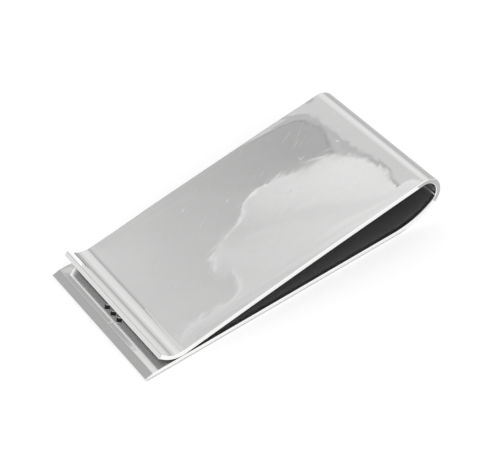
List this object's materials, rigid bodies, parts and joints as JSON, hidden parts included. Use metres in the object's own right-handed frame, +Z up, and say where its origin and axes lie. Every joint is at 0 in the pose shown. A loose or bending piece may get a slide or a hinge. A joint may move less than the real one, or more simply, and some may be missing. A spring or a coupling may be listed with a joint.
{
  "type": "money clip",
  "caption": "Folded strip money clip: a flat base, a tight round bend and a sprung arm whose pinching crease closes on the base, ended by a raised finger lip and an open note space.",
  "frame": {"origin": "on the resting face, under the middle of the clip's length and width", "axes": "+X runs from the open end towards the bend, +Y is across the strip, and +Z is up, from the base towards the arm"},
  "size_m": [0.0504, 0.0254, 0.0073],
  "materials": {
    "polished_silver": "mirror-polished sterling silver with fine hairlines, faint rolling waviness and slightly softened edges; the floors of the stamped lozenges are oxidised dark grey"
  },
  "bodies": {
    "base": {"base_tip": "polished_silver", "base_leaf": "polished_silver", "base_heel": "polished_silver"},
    "bend": {"bend_lower": "polished_silver", "bend_upper": "polished_silver"},
    "arm": {"clip_leaf": "polished_silver", "pinch_crease": "polished_silver", "finger_lip": "polished_silver"}
  },
  "joints": [
    {"name": "heel_flexure", "type": "hinge", "parent": "base", "child": "bend", "pos_m": [0.02398, 0, 0.00214], "axis": [0, 1, 0], "range_deg": [0, 3], "stiffness_Nm_per_rad": 8.6, "springref_deg": -0.5},
    {"name": "arm_flexure", "type": "hinge", "parent": "bend", "child": "arm", "pos_m": [0.02208, 0, 0.00732], "axis": [0, 1, 0], "range_deg": [0, 6], "stiffness_Nm_per_rad": 3.9, "springref_deg": -1}
  ],
  "couplings": [
    {"joint": "arm_flexure", "follows": "heel_flexure", "ratio": 2}
  ]
}
